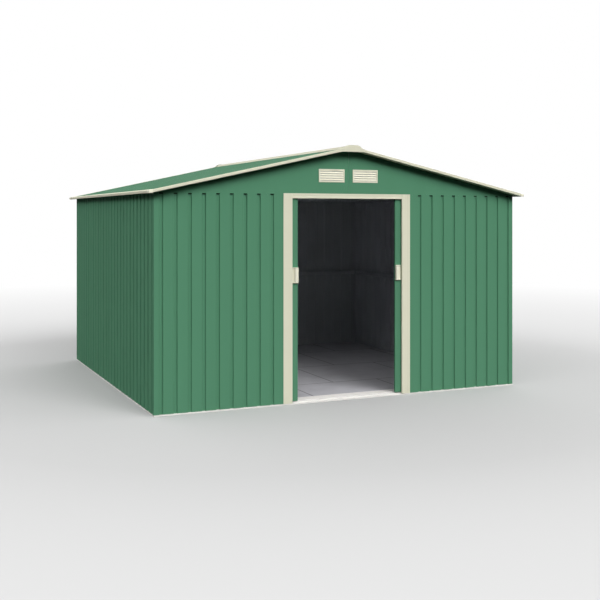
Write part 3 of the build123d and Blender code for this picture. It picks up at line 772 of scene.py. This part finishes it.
hood_line = ridge_line(end_foot, end_rise, cap_lift + seat_gap)
hood_under, hood_lefts = fold(hood_line, hood_radius, hood_steps)
plate_top = hood_under + trim_gauge * hood_lefts
plate_foot = np.stack([plate_top[:, 0], np.full(len(plate_top), roof_top(0) - plate_drop)], 1)
downwards = np.broadcast_to([0.0, -1.0], plate_foot.shape)
plate_face, hood_stop = -rake_plane - seat_gap, -rake_plane + hood_depth
plate_start = plate_face - trim_gauge
front_end = [
    sweep(plate_top, hood_lefts, plate_foot, downwards, ridge_axes, plate_start, plate_face),
    sweep(plate_top, hood_lefts, hood_under, -hood_lefts, ridge_axes, plate_face, hood_stop),
]
rear_end = [mirrored(part, 1) for part in front_end]
build("ridge_end_plates", front_end + rear_end, cream_trim, "ridge_ends")

# %% [markdown]
# ## Corner caps
#
# A small moulded cap slips over each corner of the roof, where the rake and eave trims meet. Its walls round
# into its top. The outer face is a grid: one way round the corner, the other way up the wall, over the round
# and in to the middle of the top, where all its columns meet in one point. The inner face is the same grid
# drawn one wall thickness smaller, and three rims close the cap.

# %% Corner caps
cap_width, cap_side, cap_drop, cap_round = 30, 56, 20, 5
cap_edge, cap_plane, _ = box_mm("eave_corner_caps")[1]
cap_rise = cap_lift / cos(pitch_angle)


def cap_grid(inset, across=13, over=7):
    """Points of the cap's face, one wall thickness in from its outside for the inner one.

    The plan line runs from the inner end of the front wall to the corner and along the side wall, with the
    corner turned round. The wall's foot keeps that line. A row of the round is drawn in by r * (1 - cos a)
    and raised by r * sin a, and the top's rows shrink to the inner corner.
    """
    inner = np.array([-cap_edge + cap_width, -cap_plane + cap_side])
    outer = np.array([-cap_edge + inset, -cap_plane + inset])
    radius = cap_round - inset
    plan, _ = fold([(inner[0], outer[1]), (outer[0], outer[1]), (outer[0], inner[1])], radius, over)
    front_leg = np.linspace(plan[0], plan[1], across)[:-1]
    side_leg = np.linspace(plan[-2], plan[-1], across)[1:]
    plan = np.concatenate([front_leg, plan[1:-1], side_leg])
    reach = inner - outer
    round_angle = np.linspace(0, pi / 2, over)
    drawn = np.concatenate([[0], radius * (1 - np.cos(round_angle))])
    raised = -radius * (1 - np.sin(round_angle))
    shrink = np.concatenate([
        1 - drawn[:, None] / reach,
        (1 - drawn[-1] / reach) * (1 - np.linspace(0, 1, over + 1)[1:, None]),
    ])
    flat = inner + (plan[None] - inner) * shrink[:, None]
    rise = np.concatenate([[0], raised, np.zeros(over)])[:, None]
    height = roof_top(-flat[..., 0]) + cap_rise - inset + rise
    height[0] = roof_top(cap_edge) + cap_rise - cap_drop
    return np.concatenate([flat, height[..., None]], -1)


def shell(outer, inner, head=False):
    """Shell between two grids of the same size, closed by three rims, or by four with the head.

    Without the head the last rows must be poles. A rim joins the edge points a and b of one grid to the
    same points of the other: a, b, b + size, a + size.
    """
    rows, columns = outer.shape[:2]
    place = np.arange(rows * columns).reshape(rows, columns)
    quads = np.stack([place[:-1, :-1], place[:-1, 1:], place[1:, 1:], place[1:, :-1]], -1).reshape(-1, 4)
    size = rows * columns
    edges = [place[0, ::-1], place[:, 0], place[::-1, -1]] + [place[-1]] * head
    rims = [np.stack([edge[:-1], edge[1:], edge[1:] + size, edge[:-1] + size], -1) for edge in edges]
    vertices = np.concatenate([outer.reshape(-1, 3), inner.reshape(-1, 3)])
    return vertices, np.concatenate([quads, quads[:, ::-1] + size, *rims])


def smooth_piece(name, parts, finish, node, body="shed", angle=35):
    """Joins parts, closes their poles, turns their faces out and shades them smooth up to an angle."""
    vertices, faces = joined_arrays(parts)
    mesh = bpy.data.meshes.new(name)
    mesh.from_pydata(vertices.tolist(), [], faces.tolist())
    joined = bmesh.new()
    joined.from_mesh(mesh)
    bmesh.ops.remove_doubles(joined, verts=joined.verts, dist=merge_distance)
    bmesh.ops.recalc_face_normals(joined, faces=joined.faces)
    joined.to_mesh(mesh)
    joined.free()
    mesh.shade_smooth()
    mesh.set_sharp_from_angle(angle=radians(angle))
    place_piece(name, mesh, finish, np.full(len(mesh.polygons), FACE), node, body)


cap_vertices, cap_faces = shell(cap_grid(0), cap_grid(trim_gauge))
quarters = [(cap_vertices * (x, y, 1), cap_faces) for y in (1, -1) for x in (1, -1)]
smooth_piece("roof_corner_caps", quarters, cream_moulding, "eave_corner_caps")

# %% [markdown]
# ## Door trims
#
# Two jambs and a header frame the doorway. Each has a shallow raised band down its face, which shows as two
# fine lines. The jambs wrap round the cut ends of the front sheets, and the header sits between them.

# %% Jambs and header
door_half = 490
jamb_width, jamb_return = 76, 20
jamb_edge = door_half + jamb_width
jamb_proud, trim_step = 3, 1
trim_edge, header_edge = 20, 12
sheet_back = sheet_face + groove_depth + gauge
rail_face = sheet_back + seat_gap
header_low, header_high = box_mm("door_header")


def stepped_face(start, stop, edge, level, step):
    """Points across a trim's face, with a shallow step between its two edges."""
    way = 1 if stop > start else -1
    return [
        (start, level),
        (start + way * edge, level),
        (start + way * (edge + step), level + step),
        (stop - way * (edge + step), level + step),
        (stop - way * edge, level),
        (stop, level),
    ]


def jamb_top(ring):
    """The jamb's face ends level with the header's top, and what lies behind the sheets ends at its foot."""
    return np.where(ring[:, 1] > 0, header_low[2], header_high[2])


jamb_line = (
    [(jamb_edge, -lap_gap)]
    + stepped_face(jamb_edge, door_half, trim_edge, -jamb_proud, trim_step)
    + [(door_half, rail_face + trim_gauge), (door_half + jamb_return, rail_face + trim_gauge)]
)
jamb_right = strip(jamb_line, trim_gauge, trim_radius, front_plan, sheet_foot, jamb_top)
for side, jamb in (("right", jamb_right), ("left", mirrored(jamb_right, 0))):
    build(f"{side}_door_jamb", [jamb], cream_trim, f"door_jamb_{side}")

header_face = [
    (level, height) for height, level in
    stepped_face(header_low[2], header_high[2], header_edge, -jamb_proud, trim_step)
]
header_line = [(sheet_back, header_low[2])] + header_face + [(-lap_gap, header_high[2])]
header = strip(header_line, trim_gauge, trim_radius, end_view("front"), *along_front("door_header"))
build("door_header_strip", [header], cream_trim, "door_header")

# %% [markdown]
# ## Base rails and threshold
#
# A white channel runs round the foot of the walls: a lip outside, a ledge under the sheets and an upright
# behind them. Its corners are mitred, so each end's place grows with the depth. In the doorway a ramp rises
# from the ledge to the gutter that guides the doors. The ledge and the ramp face the sky, so their white is
# written a little darker, or it would come out as pure white.

# %% Base
rail_gauge = 1
base_lip, base_flange, base_upright = 12, 40, 30
base_profile = [(base_flange, 0), (0, 0), (0, base_lip), (rail_face + rail_gauge, base_lip)]
upright_profile = [(rail_face, base_lip), (rail_face, base_lip + base_upright)]
doorway = door_half + jamb_return + seat_gap


def near_mitre(ring):
    """Start of a rail: as far along the wall as the point is deep, plus a lap gap."""
    return ring[:, 0] + lap_gap


for wall in corners:
    far_mitre = lambda ring, length=wall_length[wall]: length - near_mitre(ring)
    bars = [(base_profile, near_mitre, far_mitre), (upright_profile, near_mitre, far_mitre)]
    if wall == "front":
        bars[1:] = [
            (upright_profile, near_mitre, half_width - doorway),
            (upright_profile, half_width + doorway, far_mitre),
        ]
    parts = [
        strip(profile, rail_gauge, trim_radius, end_view(wall), start, stop) for profile, start, stop in bars
    ]
    build(f"{wall}_base_strip", parts, white_rail, f"base_rail_{wall}")

threshold_top = box_mm("lower_track")[1][2]
gutter_front, gutter_floor, gutter_width, ramp_gap = 21.6, 2.3, 12, 0.5
threshold_line = [
    (rail_face + rail_gauge + ramp_gap, base_lip),
    (gutter_front, threshold_top),
    (gutter_front, gutter_floor),
    (gutter_front + gutter_width, gutter_floor),
    (gutter_front + gutter_width, threshold_top),
]
threshold = strip(threshold_line, rail_gauge, trim_radius, end_view("front"), *along_front("lower_track"))
build("threshold_strip", [threshold], white_ramp, "lower_track")

# %% [markdown]
# A flat white strip lies on the edge of the floor behind the doors. Its bright white is painted light: it
# stands for the band of sunlight that falls on the floor just inside the doorway. Its top edges are eased by
# a millimetre.

# %% Sill strip
sill_low, sill_high = box_mm("sill_strip")
sill_front, sill_back = sill_low[1] + half_depth, sill_high[1] + half_depth
sill_ease = 1
sill_line = [
    (sill_front, sill_low[2]), (sill_front, sill_high[2]),
    (sill_back, sill_high[2]), (sill_back, sill_low[2]),
]
sill_top, sill_normals = fold(sill_line, sill_ease)
sill_foot = np.stack([sill_top[:, 0], np.full(len(sill_top), sill_low[2])], 1)
downwards = np.broadcast_to([0.0, -1.0], sill_foot.shape)
sill = sweep(
    sill_top, sill_normals, sill_foot, downwards, end_view("front"), *along_front("sill_strip")
)
build("sill_board", [sill], white_sill, "sill_strip")

# %% [markdown]
# ## Door leaves
#
# A leaf's skin is the same ribbed sheet with a flat stile at each side, hemmed round a pressed frame. The
# right leaf is drawn and the left one mirrors it.

# %% Door skins
leaf_low, leaf_high = box_mm("door_right_skin")
leaf_face = leaf_low[1] + half_depth
leaf_stile, leaf_hem, leaf_grooves = 60, 18, 4
leaf_line = ribbed(leaf_low[0], leaf_high[0], leaf_low[0] + leaf_stile + rib_pitch / 2, leaf_grooves)
skin_line = np.concatenate([[(leaf_low[0], leaf_hem)], leaf_line, [(leaf_high[0], leaf_hem)]])
leaf_axes = shifted(front_plan, leaf_face)
skin_right = strip(skin_line, gauge, sheet_radius, leaf_axes, leaf_low[2], leaf_high[2], LEFT)
for side, skin in (("right", skin_right), ("left", mirrored(skin_right, 0))):
    build(f"{side}_door_sheet", [skin], green_sheet, f"door_{side}_skin", f"door_{side}")

# %% [markdown]
# ## Louvred vents
#
# Each vent is one moulding: a rounded frame that laps over the gable sheet, and five blades that slope up and
# back, so rain runs off and air goes through the slits. From eye level only the fine dark slits show. The
# frame's end view is carried round the four sides of a rectangle, mitred at the corners, and each blade is a
# short strip with a rounded nose.

# %% Vents
vent_rise, vent_place = 147, 150
vent_middle = wall_height + vent_rise
vent_half_width, vent_half_height = 113, 52
mouth_side, mouth_foot, mouth_top = 10.5, 12.5, 9.5
frame_face, frame_gauge, frame_radius, sleeve = 3.1, 1.2, 2, 8
blade_count, blade_pitch, blade_gauge, slit = 5, 18.1, 1.4, 2.9
blade_root, blade_fall, blade_radius, blade_gap = 0.6, 4.5, 1.2, 0.5
nose_proud, nose_back, nose_drop, nose_tall = 2.6, 2.3, 0.9, 2.6


def frame_ring(foot, side, head, place, way):
    """Closed ring: point (u, v) of a side's end view lies u inside its outer edge and v out from the wall.

    Each corner of the ring is shared by two sides, so its points are drawn in by u on both of them.
    """
    signs = np.array([(-1, -1), (1, -1), (1, 1), (-1, 1)])
    rows = np.stack([foot, foot, head, head])
    across = place + signs[:, :1] * (vent_half_width - side[:, 0])
    out = np.broadcast_to(way * (half_depth + side[:, 1]), across.shape)
    rise = vent_middle + signs[:, 1:] * (vent_half_height - rows[..., 0])
    points = np.stack([across, out, rise], -1)
    here = np.arange(4)[:, None] * len(side) + np.arange(len(side))
    ahead = np.roll(here, -1, 0)
    quads = np.stack([here, ahead, np.roll(ahead, -1, 1), np.roll(here, -1, 1)], -1)
    return points.reshape(-1, 3), quads.reshape(-1, 4)


def ring_profile(width):
    """End view of the frame: back edge, rounded outer edge, face, rounded mouth edge and sleeve."""
    outline = [(0, lap_gap), (0, frame_face), (width, frame_face), (width, -sleeve)]
    edge, _ = fold(outline, frame_radius)
    return np.concatenate([edge, [(width - frame_gauge, -sleeve), (width - frame_gauge, lap_gap)]])


def blade(number, axes):
    """A strip with a rounded nose. The slits set the blades' feet, and the mouth cuts the last one short."""
    foot = mouth_foot + slit + blade_pitch * number
    head = min(foot + blade_pitch - slit, 2 * vent_half_height - mouth_top - blade_gap)
    depth = blade_fall * (head - foot) / (blade_pitch - slit)
    line = [
        (blade_root, foot + nose_drop), (-nose_proud, foot),
        (-nose_back, foot + nose_tall), (depth - nose_back, head),
    ]
    reach = vent_half_width - mouth_side + blade_root
    return strip(line, blade_gauge, blade_radius, axes, -reach, reach, steps=3)


profiles = [ring_profile(width) for width in (mouth_foot, mouth_side, mouth_top)]
for wall, way in (("front", -1), ("rear", 1)):
    parts = []
    for place in (-vent_place, vent_place):
        blade_origin = (place, way * half_depth, vent_middle - vent_half_height)
        blade_axes = (blade_origin, (0, -way, 0), up, (1, 0, 0))
        parts += [frame_ring(*profiles, place, way)]
        parts += [blade(number, blade_axes) for number in range(blade_count)]
    smooth_piece(f"{wall}_louvred_vents", parts, cream_moulding, f"{wall}_vents")

# %% [markdown]
# ## Pull handles
#
# A handle is a moulded cup: a wide rounded lip at the leaf's leading edge and a scoop for the fingers behind
# it. Its face is a height over the leaf. Two heights are drawn, the moulding's outside and the scoop, and a
# soft minimum takes the lower one with a rounded corner where they cross, as a mould is cut.

# %% Handles
handle_low, handle_high = box_mm("door_right_handle")
lead, tail = handle_low[0], handle_high[0]
handle_back, handle_tip = handle_high[1], handle_low[1]
handle_proud = handle_back - handle_tip
handle_width, handle_tall = tail - lead, handle_high[2] - handle_low[2]
lip, scoop_floor, scoop_sweep, handle_wall, tail_wall = 27, 3, 14, 10, 3
tail_proud, least_proud = 7, 0.5
edge_round, wall_steepness = 5, 3
lip_gap, corner_reach = 0.4, 0.8


def soft_minimum(first, second, reach):
    """The lower of two heights, rounded where they cross: -r * log(exp(-a / r) + exp(-b / r))."""
    return -reach * np.logaddexp(-first / reach, -second / reach)


def handle_height(across, rise):
    """Height of the handle over the leaf, across mm from the leading edge and rise mm from its foot.

    The outside is level over the lip and falls to the tail. The scoop's floor sweeps up to the lip as a
    parabola, and rises 3 mm per mm outside its other edges, which gives steep walls there. Near the outline
    the edge is turned down on a 5 mm round.
    """
    outside = np.interp(across, [0, lip, handle_width], [handle_proud, handle_proud, tail_proud])
    from_tail, from_head = handle_width - across, handle_tall - rise
    beyond = np.maximum.reduce([
        lip + 1 - across, tail_wall - from_tail, handle_wall - rise, handle_wall - from_head, 0 * across,
    ])
    sweep_up = np.maximum(lip + scoop_sweep - across, 0) / scoop_sweep
    scoop = scoop_floor + np.maximum(wall_steepness * beyond, (handle_proud - scoop_floor) * sweep_up ** 2)
    height = soft_minimum(outside + lip_gap, scoop, corner_reach)
    edge = np.minimum.reduce([across, from_tail, rise, from_head, edge_round + 0 * across])
    rounded = edge_round - np.sqrt(np.maximum(edge_round ** 2 - (edge_round - edge) ** 2, 0))
    return np.clip(height - rounded, least_proud, handle_proud)


def crowded(stops, count):
    """Numbers from 0 to the last stop, closer together near each stop, as the moulding's edges need.

    Between the stops a and b they are a + (b - a) * (1 - cos(t)) / 2, with t from 0 to pi.
    """
    way = (1 - np.cos(np.linspace(0, pi, count + 1)[:-1])) / 2
    parts = [a + (b - a) * way for a, b in zip(stops, stops[1:])]
    return np.concatenate([*parts, stops[-1:]])


# The stops lie where the face bends: its rounded edges, the lip, the scoop's sweep and its walls.
across_stops = [0, 5.5, lip - 5, lip + 3, lip + scoop_sweep, handle_width - 4, handle_width]
rise_stops = [0, handle_wall + 3, handle_tall - handle_wall - 3, handle_tall]
handle_across, handle_rise = crowded(across_stops, count=6), crowded(rise_stops, count=10)
grid_x, grid_z = np.meshgrid(handle_across, handle_rise)
height = handle_height(grid_x, grid_z)
front = np.stack([lead + grid_x, handle_back - height, handle_low[2] + grid_z], -1)
back = np.stack([lead + grid_x, np.full_like(height, handle_back), handle_low[2] + grid_z], -1)
vertices, faces = shell(front, back, head=True)
for side, flip in (("right", 1), ("left", -1)):
    turned = [(vertices * (flip, 1, 1), faces)]
    smooth_piece(f"{side}_pull_handle", turned, cream_handle, f"door_{side}_handle", f"door_{side}", angle=50)

# %% [markdown]
# ## Plain nodes
#
# What is left of the engineering model already has its right shape and gets its real finish.

# %% Finishes for the carried-over nodes
frame_bars = ["door_track", "top_rails", "ridge_beam", "purlins", "tie_beams", "truss_posts"]
kept = {
    zinc: frame_bars + ["door_left_frame", "door_right_frame"],
    pale_zinc_painted_light: ["wall_girts"],
    stone: ["floor"],
    dark_nylon: ["door_left_gear", "door_right_gear"],
}
for material, nodes in kept.items():
    for node in nodes:
        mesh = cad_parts[node].data
        mesh.materials.clear()
        mesh.materials.append(material)
    print(material.name, "on", nodes)

# %% [markdown]
# ## Stage and light
#
# A pale floor, one large soft lamp from the front right and a ring of soft boxes at mid height all round,
# which leaves the underside of the eaves dark, as daylight does. The level is plain: a paint looks about as
# its code says. The camera, mirror reflections and glass see a pale floor and plain white in place of the
# ring. The floor fades to that white between 3.5 and 12 m from the middle.

# %% Stage


def seen_rays(tree):
    """1 for a ray from the camera, a mirror reflection or glass, and 0 for the rays that light a surface."""
    rays = add_node(tree, "ShaderNodeLightPath")
    bent = {0: rays.outputs["Is Glossy Ray"], 1: rays.outputs["Is Transmission Ray"]}
    turned = add_node(tree, "ShaderNodeMath", bent, operation="MAXIMUM")
    either = {0: rays.outputs["Is Camera Ray"], 1: turned}
    return add_node(tree, "ShaderNodeMath", either, operation="MAXIMUM")


reach, fade_start, fade_stop = 60.0, 3.5, 12.0
stage_mesh = bpy.data.meshes.new("stage_floor")
stage_mesh.from_pydata(
    [(-reach, -reach, 0), (reach, -reach, 0), (reach, reach, 0), (-reach, reach, 0)], [], [(0, 1, 2, 3)]
)
stage_floor = add_object("stage_floor", stage_mesh)

stage_paint, tree, place = new_material("pale_studio_floor")
seen = seen_rays(tree)
tone = add_node(
    tree, "ShaderNodeMix", {0: seen, 6: linear("#282828"), 7: linear("#BEBEBE")}, data_type="RGBA"
)
cloth = add_node(tree, "ShaderNodeBsdfDiffuse", {"Color": tone.outputs[2]})
white = add_node(tree, "ShaderNodeEmission", {"Color": (1, 1, 1, 1), "Strength": 1.0})
distance = add_node(tree, "ShaderNodeVectorMath", {0: place}, operation="LENGTH")
fade = add_node(
    tree, "ShaderNodeMapRange",
    {"Value": distance.outputs["Value"], "From Min": fade_start, "From Max": fade_stop},
)
faded = add_node(tree, "ShaderNodeMath", {0: fade, 1: seen}, operation="MULTIPLY")
finish_material(tree, {0: faded, 1: cloth, 2: white}, "ShaderNodeMixShader")
stage_mesh.materials.append(stage_paint)

# %% [markdown]
# The ring is a band of the sky by height, from 0 at the horizon to 1 overhead. Each edge of it goes from dark
# at its first height to bright at its second. The lamp is a sun with a wide disc, so its shadows are soft. It
# stands 34 degrees high and 17 degrees to the right of the front.

# %% Light
ring_foot, ring_head, ring_strength = (0.38, 0.46), (0.8, 0.5), 4.8
sun_strength, sun_width, sun_height, sun_turn = 1.75, 38, 34, 17

world = bpy.data.worlds.new("ring_of_soft_boxes")
bpy.context.scene.world = world
world.use_nodes = True
tree = world.node_tree
tree.nodes.clear()
way = add_node(tree, "ShaderNodeTexCoord").outputs["Generated"]
height = add_node(tree, "ShaderNodeSeparateXYZ", {0: way}).outputs[2]
edges = [
    add_node(
        tree, "ShaderNodeMapRange", {"Value": height, "From Min": start, "From Max": stop},
        interpolation_type="SMOOTHSTEP",
    )
    for start, stop in (ring_foot, ring_head)
]
ring = add_node(tree, "ShaderNodeMath", dict(enumerate(edges)), operation="MULTIPLY")
boxes = add_node(tree, "ShaderNodeMath", {0: ring, 1: ring_strength}, operation="MULTIPLY")
strength = add_node(
    tree, "ShaderNodeMix", {0: seen_rays(tree), 2: boxes, 3: 1.0}, data_type="FLOAT"
)
sky = add_node(tree, "ShaderNodeBackground", {"Color": (1, 1, 1, 1), "Strength": strength})
add_node(tree, "ShaderNodeOutputWorld", {"Surface": sky})

sun_data = bpy.data.lights.new("soft_sun", "SUN")
sun_data.energy = sun_strength
sun_data.angle = radians(sun_width)
sun = add_object("soft_sun", sun_data)
sun.rotation_euler = (radians(90 - sun_height), 0, radians(sun_turn))
print("sun strength", sun_strength, "ring strength", ring_strength)

# %% Colour management
bpy.context.scene.view_settings.view_transform = "Standard"
